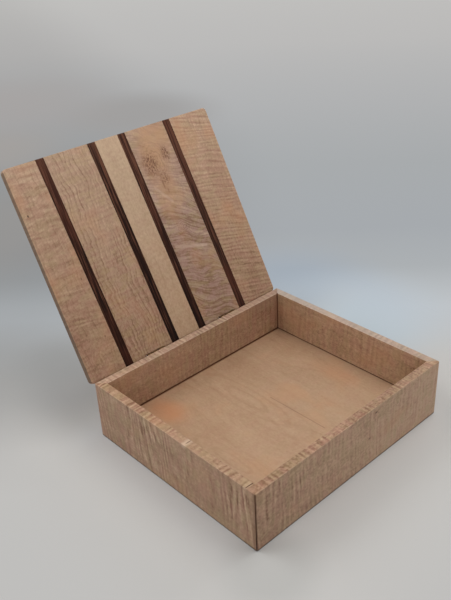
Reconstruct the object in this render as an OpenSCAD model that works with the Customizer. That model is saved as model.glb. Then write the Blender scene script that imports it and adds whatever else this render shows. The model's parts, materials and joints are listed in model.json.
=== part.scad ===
// Wooden keepsake box: mitred maple walls, a bottom panel in a groove and a striped lid
// on two brass hinges. Millimetres, +Z up, X across the front, +Y to the back. The origin
// is the centre of the underside. The lid is drawn open, against the stops of its hinges.

/* [Box] */
// Width of the box, left to right
box_w = 280; // [230:1:360]
// Depth of the box, front to back
box_d = 240; // [160:1:320]
// Height of the walls
box_h = 69.5; // [45:0.5:120]
// Thickness of the walls
wall = 9.8; // [8.5:0.1:14]

/* [Bottom panel] */
// Thickness of the bottom panel
panel_t = 6; // [4:0.5:9]
// Height of the panel's top face over the underside
floor_top = 18.5; // [12:0.5:30]
// Depth of the groove that holds the panel
groove_depth = 4.5; // [2.5:0.5:6]
// Play of the panel in its groove, over its top face and at its edges
panel_play = 0.4; // [0.2:0.1:1]

/* [Lid] */
// Thickness of the lid
lid_t = 7.5; // [7.2:0.1:12]
// Gap between the closed lid and the rim
lid_gap = 0.3; // [0.2:0.1:0.6]
// Shift of the lid to the right of the box's middle
lid_shift = -1.2; // [-2:0.1:2]
// Overhang of the closed lid behind the back wall
lid_back = 2.4; // [0.5:0.1:2.8]
// Radius of the lid's corners, seen from above
lid_corner_r = 3; // [1:0.5:8]
// Angle between the open lid and the closed lid
open_angle = 118; // [95:1:135]

/* [Lid staves] */
// Width of the dark strips
strip_w = 10.3; // [6:0.1:14]
// Width of the second stave from the left
stave_2_w = 55.8; // [40:0.1:60]
// Width of the narrow middle stave
stave_3_w = 30.8; // [20:0.1:40]
// Width of the fourth stave from the left
stave_4_w = 55.4; // [40:0.1:60]
// Place of the middle stave's centre, from the lid's middle
stave_3_x = -6; // [-10:0.1:10]
// Lean of the strips against the lid's sides, in degrees
strip_lean = 1.5; // [-2:0.1:2]

/* [Hinges] */
// Distance of each hinge from the box's middle
hinge_x = 55; // [35:0.5:70]
// Length of a hinge
hinge_len = 24; // [20:0.5:32]
// Thickness of a hinge leaf
leaf_t = 0.8; // [0.6:0.05:1]
// Reach of a leaf from the pin's axis
leaf_reach = 8; // [7.6:0.1:8.4]
// Play of a leaf in its notch in the lid's back edge
notch_play = 0.1; // [0.05:0.05:0.3]
// Radius of the knuckles
knuckle_r = 1.5; // [1.3:0.05:1.7]
// Radius of the pin
pin_r = 0.7; // [0.5:0.05:0.8]
// Running clearance around the pin
pin_play = 0.05; // [0.03:0.01:0.08]
// Gap between two knuckles, along the pin
knuckle_gap = 0.2; // [0.1:0.05:0.4]
// Gap between the knuckles and the wood, behind and above them
knuckle_clear = 0.15; // [0.1:0.05:0.3]

/* [Stops] */
// Reach of a stop heel from the pin's axis
heel_reach = 3; // [2.6:0.1:3.4]
// Thickness of a stop heel
heel_t = 1.2; // [0.9:0.1:1.5]
// Gap that stays between an open heel and its leaf
heel_gap = 0.1; // [0.05:0.05:0.2]

/* [Screws] */
// Distance of each screw from its hinge's middle
screw_x = 8; // [6.5:0.5:9]
// Length of a screw with its head
screw_len = 7.5; // [6:0.5:8.5]
// Radius of a screw's shank
shank_r = 0.8; // [0.6:0.05:0.9]
// Radius of a screw's head
head_r = 1.5; // [1.3:0.05:1.7]
// Clearance between a screw and its hole
screw_play = 0.05; // [0.03:0.01:0.1]
// Width of the slot in a screw's head
slot_w = 0.45; // [0.3:0.05:0.6]
// Depth of the slot in a screw's head
slot_depth = 0.35; // [0.2:0.05:0.5]

/* [Hidden] */
$fn = 64;
cut = 1;
inner_w = box_w - 2 * wall;
inner_d = box_d - 2 * wall;
panel_inset = groove_depth - panel_play;

lid_w = box_w;
lid_d = box_d + lid_back;
lid_z = box_h + lid_gap;
strip_2_x = stave_3_x - stave_3_w / 2 - strip_w;
strip_3_x = stave_3_x + stave_3_w / 2;
strip_1_x = strip_2_x - stave_2_w - strip_w;
strip_4_x = strip_3_x + strip_w + stave_4_w;

pin_back = knuckle_r + knuckle_clear;
pin_drop = knuckle_r + knuckle_clear;
pin_y = box_d / 2 + pin_back;
pin_z = box_h - pin_drop;
bore_r = pin_r + pin_play;
knuckle_len = hinge_len / 3;
mid_knuckle = knuckle_len - knuckle_gap;
lid_rise = pin_drop + lid_gap;
screw_z = (lid_rise + leaf_reach) / 2;
pilot_depth = screw_len - leaf_t + 2 * screw_play;

maple = "#cfa985";
ply = "#c9a27a";
walnut = "#3f2620";
brass = "#b08d4f";

// Everything that turns with the lid is drawn closed and swung open here
module opened() {
    translate([0, pin_y, pin_z])
        rotate([-open_angle, 0, 0])
            translate([0, -pin_y, -pin_z])
                children();
}

// Moves a shape drawn around the pin's axis to the left (-1) or right (1) hinge
module at_hinge(side) {
    translate([side * hinge_x, pin_y, pin_z])
        children();
}

// The room that the panel's edges take in the walls
module panel_groove() {
    translate([-inner_w / 2 - groove_depth, -inner_d / 2 - groove_depth, floor_top - panel_t])
        cube([inner_w + 2 * groove_depth, inner_d + 2 * groove_depth, panel_t + panel_play]);
}

// A wall along X, mitred at both ends, with its outer face at the front of length and depth
module mitred_wall(length, depth) {
    linear_extrude(box_h)
        polygon([
            [-length / 2, -depth / 2],
            [length / 2, -depth / 2],
            [length / 2 - wall, -depth / 2 + wall],
            [-length / 2 + wall, -depth / 2 + wall]
        ]);
}

module front_wall() {
    color(maple)
        difference() {
            mitred_wall(box_w, box_d);
            panel_groove();
        }
}

module back_wall() {
    color(maple)
        difference() {
            rotate([0, 0, 180])
                mitred_wall(box_w, box_d);
            panel_groove();
            for (side = [-1, 1])
                at_hinge(side)
                    pilot_holes(-screw_z);
        }
}

module left_wall() {
    color(maple)
        difference() {
            rotate([0, 0, -90])
                mitred_wall(box_d, box_w);
            panel_groove();
        }
}

module right_wall() {
    color(maple)
        difference() {
            rotate([0, 0, 90])
                mitred_wall(box_d, box_w);
            panel_groove();
        }
}

module bottom_panel() {
    color(ply)
        translate([-inner_w / 2 - panel_inset, -inner_d / 2 - panel_inset, floor_top - panel_t])
            cube([inner_w + 2 * panel_inset, inner_d + 2 * panel_inset, panel_t]);
}

// The lid's outline, centred on the lid
module lid_outline() {
    flat_w = lid_w - 2 * lid_corner_r;
    flat_d = lid_d - 2 * lid_corner_r;
    square([flat_w, lid_d], center = true);
    square([lid_w, flat_d], center = true);
    for (sx = [-1, 1], sy = [-1, 1])
        translate([sx * flat_w / 2, sy * flat_d / 2])
            circle(lid_corner_r);
}

// The room for a leaf in the lid's back edge, around the pin's axis
module leaf_notch() {
    translate([-hinge_len / 2 - notch_play, -pin_back, lid_rise - cut])
        cube([hinge_len + 2 * notch_play, lid_back + cut, leaf_reach - lid_rise + notch_play + cut]);
}

// The stretch of the lid between two glue lines, given where they cross the lid's middle
module lid_piece(from_x, to_x) {
    half_d = lid_d / 2 + cut;
    lean = half_d * tan(strip_lean);
    opened()
        difference() {
            translate([lid_shift, lid_back / 2, lid_z])
                linear_extrude(lid_t)
                    intersection() {
                        lid_outline();
                        polygon([
                            [from_x - lean, -half_d],
                            [to_x - lean, -half_d],
                            [to_x + lean, half_d],
                            [from_x + lean, half_d]
                        ]);
                    }
            for (side = [-1, 1])
                at_hinge(side) {
                    pilot_holes(screw_z);
                    leaf_notch();
                }
        }
}

module lid_stave_1() {
    color(maple)
        lid_piece(-lid_w, strip_1_x);
}

module lid_strip_1() {
    color(walnut)
        lid_piece(strip_1_x, strip_1_x + strip_w);
}

module lid_stave_2() {
    color(maple)
        lid_piece(strip_1_x + strip_w, strip_2_x);
}

module lid_strip_2() {
    color(walnut)
        lid_piece(strip_2_x, strip_2_x + strip_w);
}

module lid_stave_3() {
    color(maple)
        lid_piece(strip_2_x + strip_w, strip_3_x);
}

module lid_strip_3() {
    color(walnut)
        lid_piece(strip_3_x, strip_3_x + strip_w);
}

module lid_stave_4() {
    color(maple)
        lid_piece(strip_3_x + strip_w, strip_4_x);
}

module lid_strip_4() {
    color(walnut)
        lid_piece(strip_4_x, strip_4_x + strip_w);
}

module lid_stave_5() {
    color(maple)
        lid_piece(strip_4_x + strip_w, lid_w);
}

// One length of a hinge's barrel, centred on mid_x
module knuckle(mid_x, length) {
    translate([mid_x - length / 2, 0, 0])
        rotate([0, 90, 0])
            cylinder(r = knuckle_r, h = length);
}

// The bore through all knuckles
module pin_bore() {
    translate([-hinge_len / 2 - cut, 0, 0])
        rotate([0, 90, 0])
            cylinder(r = bore_r, h = hinge_len + 2 * cut);
}

// Places something at both screws of a leaf, with its +Z pointing into the wood
module at_screws(height) {
    for (side = [-1, 1])
        translate([side * screw_x, -pin_back + leaf_t, height])
            rotate([90, 0, 0])
                children();
}

// Countersunk holes in a leaf
module screw_holes(height) {
    at_screws(height) {
        cylinder(r1 = head_r + screw_play, r2 = shank_r + screw_play, h = leaf_t);
        translate([0, 0, -cut])
            cylinder(r = shank_r + screw_play, h = leaf_t + 2 * cut);
    }
}

// Holes in the wood under a leaf
module pilot_holes(height) {
    at_screws(height)
        cylinder(r = shank_r + screw_play, h = leaf_t + pilot_depth);
}

module screw() {
    difference() {
        union() {
            cylinder(r1 = head_r, r2 = shank_r, h = leaf_t);
            cylinder(r = shank_r, h = screw_len);
        }
        translate([-head_r - cut, -slot_w / 2, -cut])
            cube([2 * (head_r + cut), slot_w, slot_depth + cut]);
    }
}

module hinge_box_leaf(side) {
    end_knuckle = knuckle_len - knuckle_gap / 2;
    color(brass)
        at_hinge(side)
            difference() {
                union() {
                    translate([-hinge_len / 2, -pin_back, -leaf_reach])
                        cube([hinge_len, leaf_t, leaf_reach - knuckle_r - knuckle_clear]);
                    for (end = [-1, 1]) {
                        mid_x = end * (hinge_len - end_knuckle) / 2;
                        knuckle(mid_x, end_knuckle);
                        translate([mid_x - end_knuckle / 2, -pin_back, -leaf_reach / 2])
                            cube([end_knuckle, leaf_t, leaf_reach / 2]);
                    }
                }
                pin_bore();
                screw_holes(-screw_z);
            }
}

// The leaf on the lid. Its middle knuckle has a heel that meets the other leaf when the lid
// is open, so it is drawn where it lands and turned back by the opening angle
module hinge_lid_leaf(side) {
    heel_y = -pin_back + leaf_t + heel_gap;
    heel_root = (bore_r + knuckle_r) / 2;
    web_y = 0.9 * knuckle_r;
    color(brass)
        opened()
            at_hinge(side)
                difference() {
                    union() {
                        knuckle(0, mid_knuckle);
                        translate([-hinge_len / 2, -pin_back, lid_rise])
                            cube([hinge_len, leaf_t, leaf_reach - lid_rise]);
                        translate([-mid_knuckle / 2, -web_y, 0])
                            cube([mid_knuckle, web_y - pin_back + leaf_t, lid_rise + leaf_t]);
                        rotate([open_angle, 0, 0])
                            translate([-mid_knuckle / 2, heel_y, -heel_reach])
                                cube([mid_knuckle, heel_t, heel_reach - heel_root]);
                    }
                    pin_bore();
                    screw_holes(screw_z);
                }
}

module hinge_pin(side) {
    color(brass)
        at_hinge(side)
            translate([-hinge_len / 2, 0, 0])
                rotate([0, 90, 0])
                    cylinder(r = pin_r, h = hinge_len);
}

module left_hinge_box_leaf() {
    hinge_box_leaf(-1);
}

module right_hinge_box_leaf() {
    hinge_box_leaf(1);
}

module left_hinge_lid_leaf() {
    hinge_lid_leaf(-1);
}

module right_hinge_lid_leaf() {
    hinge_lid_leaf(1);
}

module left_hinge_pin() {
    hinge_pin(-1);
}

module right_hinge_pin() {
    hinge_pin(1);
}

module box_leaf_screws() {
    color(brass)
        for (side = [-1, 1])
            at_hinge(side)
                at_screws(-screw_z)
                    screw();
}

module lid_leaf_screws() {
    color(brass)
        opened()
            for (side = [-1, 1])
                at_hinge(side)
                    at_screws(screw_z)
                        screw();
}

front_wall();
back_wall();
left_wall();
right_wall();
bottom_panel();
lid_stave_1();
lid_strip_1();
lid_stave_2();
lid_strip_2();
lid_stave_3();
lid_strip_3();
lid_stave_4();
lid_strip_4();
lid_stave_5();
left_hinge_box_leaf();
right_hinge_box_leaf();
left_hinge_lid_leaf();
right_hinge_lid_leaf();
left_hinge_pin();
right_hinge_pin();
box_leaf_screws();
lid_leaf_screws();
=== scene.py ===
import json
import math

import bmesh
import bpy
from mathutils import Matrix, Vector


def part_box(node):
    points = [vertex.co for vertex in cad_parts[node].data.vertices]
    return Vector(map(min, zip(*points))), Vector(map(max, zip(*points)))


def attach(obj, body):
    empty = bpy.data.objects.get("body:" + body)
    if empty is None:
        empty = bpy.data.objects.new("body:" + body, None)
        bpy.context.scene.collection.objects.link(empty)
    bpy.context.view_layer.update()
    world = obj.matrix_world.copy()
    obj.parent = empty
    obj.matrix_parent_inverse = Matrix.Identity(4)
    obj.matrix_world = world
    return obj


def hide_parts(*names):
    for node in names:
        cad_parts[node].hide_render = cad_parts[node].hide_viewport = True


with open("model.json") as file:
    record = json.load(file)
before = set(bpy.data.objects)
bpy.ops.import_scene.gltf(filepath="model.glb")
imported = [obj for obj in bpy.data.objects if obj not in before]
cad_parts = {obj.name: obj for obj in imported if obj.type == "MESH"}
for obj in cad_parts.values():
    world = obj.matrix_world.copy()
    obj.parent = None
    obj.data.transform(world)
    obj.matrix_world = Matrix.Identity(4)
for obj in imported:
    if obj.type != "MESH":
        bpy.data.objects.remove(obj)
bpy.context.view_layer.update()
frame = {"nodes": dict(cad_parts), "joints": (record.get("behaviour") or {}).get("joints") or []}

scene = bpy.context.scene
mm = 0.001
print("frame loaded,", len(frame["nodes"]), "nodes")


# The camera stands where the photograph was taken from, found from the box's straight edges
photoCamera = {
    "focalPixels": 800.06,
    "middle": (229.67, 294.78),
    "frame": (451, 600),
    "place": (-0.49663, -0.49468, 0.56342),
    "turn": (60.4168, 2.4626, -43.5122),
    "sensor": 36.0,
    "clip": (0.01, 200),
}


def placeCamera(shot):
    data = bpy.data.cameras.new("camera")
    width, height = shot["frame"]
    data.sensor_width = shot["sensor"]
    data.lens = shot["focalPixels"] / height * shot["sensor"]
    data.shift_x = (width / 2 - shot["middle"][0]) / height
    data.shift_y = (shot["middle"][1] - height / 2) / height
    data.clip_start, data.clip_end = shot["clip"]
    camera = bpy.data.objects.new("camera", data)
    camera.location = shot["place"]
    camera.rotation_euler = [math.radians(a) for a in shot["turn"]]
    scene.collection.objects.link(camera)
    scene.camera = camera


placeCamera(photoCamera)
print("camera placed")


# Node helpers

def paint(red, green, blue):  # a colour as it shows on a screen, 0 to 255
    def linear(c):
        c = c / 255
        return c / 12.92 if c <= 0.04045 else ((c + 0.055) / 1.055) ** 2.4
    return (linear(red), linear(green), linear(blue), 1.0)


def feed(value, socket):  # a link from another node, or a plain value
    if isinstance(value, bpy.types.NodeSocket):
        value.id_data.links.new(value, socket)
    else:
        socket.default_value = value


def addNode(tree, kind, inputs=None, **settings):
    made = tree.nodes.new(kind)
    for key, value in settings.items():
        setattr(made, key, value)
    for key, value in (inputs or {}).items():
        feed(value, made.inputs[key])
    return made


def nextNode(kind, inputs, **settings):  # a node in the tree that its inputs come from
    tree = next(value.id_data for value in inputs.values() if isinstance(value, bpy.types.NodeSocket))
    return addNode(tree, kind, inputs, **settings)


def calc(operation, *values):
    return nextNode("ShaderNodeMath", dict(enumerate(values)), operation=operation).outputs[0]


def add(*values):
    return calc("ADD", *values)


def times(*values):
    return calc("MULTIPLY", *values)


def centred(value):  # from 0 to 1, to half to each side of nothing
    return calc("SUBTRACT", value, 0.5)


def total(*terms):  # sum of (value, factor) pairs
    result = None
    for value, factor in terms:
        part = times(value, factor)
        result = part if result is None else add(result, part)
    return result


def vectorCalc(operation, first, second=None):
    inputs = {0: first}
    if second is not None:
        inputs["Scale" if operation == "SCALE" else 1] = second
    made = nextNode("ShaderNodeVectorMath", inputs, operation=operation)
    return made.outputs["Value" if operation in ("DOT_PRODUCT", "DISTANCE", "LENGTH") else "Vector"]


def splitAxes(vector):
    return nextNode("ShaderNodeSeparateXYZ", {"Vector": vector}).outputs


def joinAxes(**axes):
    return nextNode("ShaderNodeCombineXYZ", axes).outputs[0]


def remap(value, low, high, toLow=0.0, toHigh=1.0):
    made = nextNode("ShaderNodeMapRange", {
        "Value": value, "From Min": low, "From Max": high, "To Min": toLow, "To Max": toHigh,
    })
    return made.outputs["Result"]


def softRemap(value, low, high, toLow=0.0, toHigh=1.0):  # remap with soft ends
    result = remap(value, low, high, toLow, toHigh)
    result.node.interpolation_type = "SMOOTHSTEP"
    return result


noiseSpan = (0.3, 0.7)  # what a noise mostly keeps to


def noise(vector, steps, seed, apart=0.0, detail=2.0, rough=0.5):
    # steps are the pattern's for each millimetre, and apart keeps it unlike others of the same seed
    if apart:
        seed = seed + apart if isinstance(seed, float) else add(seed, apart)
    made = nextNode("ShaderNodeTexNoise", {
        "Vector": vectorCalc("MULTIPLY", vector, steps) if steps else vector,
        "W": seed, "Scale": 1.0, "Detail": detail, "Roughness": rough,
    }, noise_dimensions="4D")
    return made.outputs["Fac"]


def mixColour(factor, first, second):
    return nextNode("ShaderNodeMix", {0: factor, 6: first, 7: second}, data_type="RGBA").outputs[2]


def ramp(value, stops):
    made = nextNode("ShaderNodeValToRGB", {"Fac": value})
    elements = made.color_ramp.elements
    while len(elements) < len(stops):
        elements.new(0.5)
    for element, (place, colour) in zip(elements, stops):
        element.position = place
        element.color = colour
    return made.outputs["Color"]


def toneRamp(value, look):  # from the look's dark over its middle to its light
    return ramp(value, [(i / 2, paint(*look[tone])) for i, tone in enumerate(("dark", "middle", "light"))])


def newGroup(name, **inputs):  # an input without a value is a vector
    group = bpy.data.node_groups.new(name, "ShaderNodeTree")
    for label, value in inputs.items():
        kind = "NodeSocketVector" if value is None else "NodeSocketFloat"
        socket = group.interface.new_socket(label, in_out="INPUT", socket_type=kind)
        if value is not None:
            socket.default_value = value
    return group, addNode(group, "NodeGroupInput").outputs


def closeGroup(group, **results):
    for label in results:
        group.interface.new_socket(label, in_out="OUTPUT", socket_type="NodeSocketFloat")
    addNode(group, "NodeGroupOutput", results)
    return group


def useGroup(group, **inputs):
    return nextNode("ShaderNodeGroup", inputs, node_tree=group).outputs


# Effects that several woods share. Their vectors are in millimetres: X across the board's face,
# Y along the grain and Z through the board

curlFigure = {
    "bend": (1 / 150, 1 / 34, 1 / 150), "jitter": (1 / 8, 1 / 3, 1 / 8), "patch": (1 / 30, 1 / 17, 1 / 30),
    "broken": (1 / 9, 1 / 2.2, 1 / 9), "drift": 4.5, "patchEdges": (0.38, 0.6), "brokenEdges": (0.34, 0.62),
    "brokenDepth": (0.45, 1.15), "lineEdges": (-0.35, -1.0),
    "trains": ((1.0, 1.0, 0.0, 0.85), (0.64, 1.35, 13.7, 0.4)),  # length, slant, step of the seed, share
}


def makeCurl(figure):  # cross bands of curly figure, from -1 to 1, and the dark line in each band
    group, given = newGroup(
        "curl", Vector=None, Seed=0.0, Length=7.0, Wander=1.0, Slant=0.0, Evenness=0.4, Ragged=0.35,
    )
    vector = given["Vector"]
    axes = splitAxes(vector)

    def bands(length, slant, step):  # one train of bands and how strong it is from place to place
        seed = add(given["Seed"], step)
        bend = noise(vector, figure["bend"], seed, detail=1.0)
        jitter = noise(vector, figure["jitter"], seed, apart=3.1)
        leaned = add(axes["Y"], times(axes["X"], times(given["Slant"], slant)))
        turns = calc("DIVIDE", leaned, times(given["Length"], length))
        drift = times(centred(bend), figure["drift"])
        turns = add(turns, times(drift, given["Wander"]))
        turns = add(turns, times(centred(jitter), given["Ragged"]))
        wave = calc("SINE", times(turns, math.tau))
        patch = noise(vector, figure["patch"], seed, apart=8.3, detail=1.5)
        return wave, softRemap(patch, *figure["patchEdges"], given["Evenness"], 1.0)

    waves, terms = [], []
    for length, slant, step, share in figure["trains"]:
        wave, strength = bands(length, slant, step)
        waves.append(wave)
        terms.append((times(wave, strength), share))
    broken = noise(vector, figure["broken"], given["Seed"], apart=6.2, detail=2.5)
    broken = remap(broken, *figure["brokenEdges"], *figure["brokenDepth"])
    both = times(total(*terms), broken)
    return closeGroup(group, Curl=both, Line=softRemap(both, *figure["lineEdges"]), Wave=waves[0])


ringFigure = {
    "bend": (1 / 42, 1 / 85, 1 / 30), "waver": (1 / 24, 1 / 13, 1 / 24), "uneven": (1 / 16, 1 / 200, 1 / 16),
    "soft": (1 / 9, 1 / 30, 1 / 9), "waverReach": 7.0, "lean": 0.6, "waveReach": 0.12, "unevenReach": 2.2,
    "crispness": 3.0, "fallFrom": 0.9, "softEdges": (0.38, 0.62), "softDepth": (0.15, 1.0),
}


def makeRings(figure):  # growth rings as soft dark lines, 0 to 1, and how far they bend, in millimetres
    group, given = newGroup(
        "growth rings", Vector=None, Seed=0.0, Width=4.0, Wander=10.0, Wave=0.0, Waver=0.3,
    )
    vector, seed = given["Vector"], given["Seed"]
    axes = splitAxes(vector)
    bend = noise(vector, figure["bend"], seed, detail=1.5, rough=0.4)
    bend = times(centred(bend), given["Wander"])
    waver = noise(vector, figure["waver"], seed, apart=8.8, detail=1.5)
    waver = times(centred(waver), times(given["Waver"], figure["waverReach"]))
    bend = add(bend, waver)
    place = total(
        (axes["X"], 1.0), (axes["Z"], figure["lean"]), (bend, 1.0),
        (given["Wave"], figure["waveReach"]),
    )
    uneven = noise(vector, figure["uneven"], seed, apart=2.6)
    uneven = times(uneven, times(given["Width"], figure["unevenReach"]))
    turn = calc("FRACT", calc("DIVIDE", add(place, uneven), given["Width"]))
    rise = calc("POWER", turn, figure["crispness"])
    fall = remap(turn, figure["fallFrom"], 1.0, 1.0, 0.0)
    soft = noise(vector, figure["soft"], seed, apart=5.7)
    soft = softRemap(soft, *figure["softEdges"], *figure["softDepth"])
    return closeGroup(group, Ring=times(times(rise, fall), soft), Bend=bend)


flowFigure = {
    "broad": (1 / 40, 1 / 52, 1 / 40), "close": (1 / 15, 1 / 20, 1 / 15), "broadReach": 2.0,
    "closeReach": 0.22, "across": 1 / 60, "fineSteps": (2.0, 2.0, 2.0), "fineEdges": (0.015, 0.1),
}


def makeFlow(figure):  # broad streaks and fine lines that run across the board in bends, both 0 to 1
    group, given = newGroup("flowing figure", Vector=None, Seed=0.0, Width=6.0, Wander=14.0, Slant=0.25)
    vector, seed = given["Vector"], given["Seed"]
    axes = splitAxes(vector)
    broad = noise(vector, figure["broad"], seed, detail=1.0)
    close = noise(vector, figure["close"], seed, apart=1.9, detail=1.0)
    bend = total((centred(broad), figure["broadReach"]), (centred(close), figure["closeReach"]))
    place = add(axes["Y"], times(axes["X"], given["Slant"]))
    place = add(place, times(bend, given["Wander"]))
    spot = joinAxes(
        X=times(axes["X"], figure["across"]), Y=calc("DIVIDE", place, given["Width"]),
        Z=times(axes["Z"], figure["across"]),
    )
    flow = noise(spot, None, seed, apart=5.2)
    fine = noise(spot, figure["fineSteps"], seed, apart=7.4, detail=1.0)
    fine = softRemap(calc("ABSOLUTE", centred(fine)), *figure["fineEdges"], 1.0, 0.0)
    return closeGroup(group, Flow=remap(flow, *noiseSpan), Fine=fine)


fibreFigure = {
    "streak": (0.85, 1 / 26, 0.85), "pore": (1.9, 1 / 3.2, 1.9), "tone": (1 / 17, 1 / 120, 1 / 17),
    "blotch": (1 / 34, 1 / 52, 1 / 34), "poreEdges": (0.66, 0.78),
}


def makeFibre(figure):  # fine streaks, short pores and broad tone, each about 0 to 1
    group, given = newGroup("wood fibre", Vector=None, Seed=0.0, Wave=0.0, Sway=0.3, Bend=0.0)
    seed = given["Seed"]
    axes = splitAxes(given["Vector"])
    swayed = add(axes["X"], times(given["Wave"], given["Sway"]))
    vector = joinAxes(X=add(swayed, given["Bend"]), Y=axes["Y"], Z=axes["Z"])
    streak = noise(vector, figure["streak"], seed, detail=4.0, rough=0.62)
    pore = noise(vector, figure["pore"], seed, apart=2.3, detail=1.0)
    tone = noise(vector, figure["tone"], seed, apart=4.9)
    blotch = noise(vector, figure["blotch"], seed, apart=7.7, detail=3.0)
    return closeGroup(
        group, Streak=remap(streak, *noiseSpan), Pore=remap(pore, *figure["poreEdges"]),
        Tone=remap(tone, *noiseSpan), Blotch=remap(blotch, *noiseSpan),
    )


wearFigure = {"rubbed": (0.5, 1 / 5, 0.5), "rubbedEdges": (0.3, 0.66)}


def makeWear(figure):  # where the eased edges are rubbed, where end grain shows, and the rim
    group, given = newGroup("edge wear", Vector=None, Seed=0.0, Amount=1.0)
    arris, ends, rim = [
        addNode(group, "ShaderNodeAttribute", attribute_name=mark).outputs["Fac"]
        for mark in ("arris", "endGrain", "rim")
    ]
    rubbed = noise(given["Vector"], figure["rubbed"], given["Seed"], detail=3.0)
    wear = times(arris, remap(rubbed, *figure["rubbedEdges"]))
    return closeGroup(group, Wear=times(wear, given["Amount"]), End=ends, Rim=rim)


knotFigure = {
    "flat": 0.15, "knotEdges": (0.35, 1.0), "haloEdges": (0.6, 3.0), "wobble": (1 / 6, 1 / 6, 1 / 6),
    "seed": 3.3, "lineEdges": (0.2, 1.0),
}


def makeKnot(figure):  # a small dark spot, a soft ring round it, and lines that run round both
    group, given = newGroup("pin knot", Vector=None, Place=None, Size=1.0, Stretch=1.5, Lines=1.3, Wobble=2.6)
    axes = splitAxes(vectorCalc("SUBTRACT", given["Vector"], given["Place"]))
    along = calc("DIVIDE", axes["Y"], given["Stretch"])
    near = joinAxes(X=axes["X"], Y=along, Z=times(axes["Z"], figure["flat"]))
    reach = calc("DIVIDE", vectorCalc("LENGTH", near), given["Size"])
    halo = softRemap(reach, *figure["haloEdges"], 1.0, 0.0)
    wobble = noise(given["Vector"], figure["wobble"], figure["seed"], detail=1.0)
    lines = add(times(reach, given["Lines"]), times(wobble, given["Wobble"]))
    lines = softRemap(calc("SINE", times(lines, math.tau)), *figure["lineEdges"])
    knot = softRemap(reach, *figure["knotEdges"], 1.0, 0.0)
    return closeGroup(group, Knot=knot, Halo=halo, Contour=times(lines, halo))


strokeEdges = (0.25, 1.0)  # share of the width that is full, and where it ends


def makeStroke(edges):  # a fine line between two points of the face
    group, given = newGroup("stroke", Vector=None, From=None, To=None, Width=0.5)
    span = vectorCalc("SUBTRACT", given["To"], given["From"])
    here = vectorCalc("SUBTRACT", given["Vector"], given["From"])
    along, whole = [vectorCalc("DOT_PRODUCT", part, span) for part in (here, span)]
    share = calc("DIVIDE", along, whole)
    share = nextNode("ShaderNodeClamp", {"Value": share}).outputs[0]
    off = vectorCalc("DISTANCE", here, vectorCalc("SCALE", span, share))
    reach = calc("DIVIDE", off, given["Width"])
    return closeGroup(group, Stroke=softRemap(reach, *edges, 1.0, 0.0))


curlGroup, ringGroup, flowGroup = makeCurl(curlFigure), makeRings(ringFigure), makeFlow(flowFigure)
fibreGroup, wearGroup = makeFibre(fibreFigure), makeWear(wearFigure)
knotGroup, strokeGroup = makeKnot(knotFigure), makeStroke(strokeEdges)
print("shared effects made")


def newMaterial(name):  # also its shader and the object's coordinates
    made = bpy.data.materials.new(name)
    made.use_nodes = True
    coordinates = addNode(made.node_tree, "ShaderNodeTexCoord").outputs["Object"]
    return made, made.node_tree.nodes["Principled BSDF"], coordinates


def boardVector(coordinates, matrix):  # turned into the board's own, in millimetres
    return nextNode("ShaderNodeMapping", {
        "Vector": coordinates, "Location": matrix.translation / mm, "Rotation": matrix.to_euler(),
        "Scale": (1 / mm, 1 / mm, 1 / mm),
    }).outputs["Vector"]


def finishShader(shader, colour, rough, height, look):  # grain is its depth in metres and its strength
    depth, strength = look["grain"]
    bump = nextNode("ShaderNodeBump", {"Height": height, "Distance": depth, "Strength": strength})
    feed(colour, shader.inputs["Base Color"])
    feed(add(rough, look["roughness"]), shader.inputs["Roughness"])
    feed(look["shine"], shader.inputs["Specular IOR Level"])
    feed(bump.outputs["Normal"], shader.inputs["Normal"])


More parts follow.
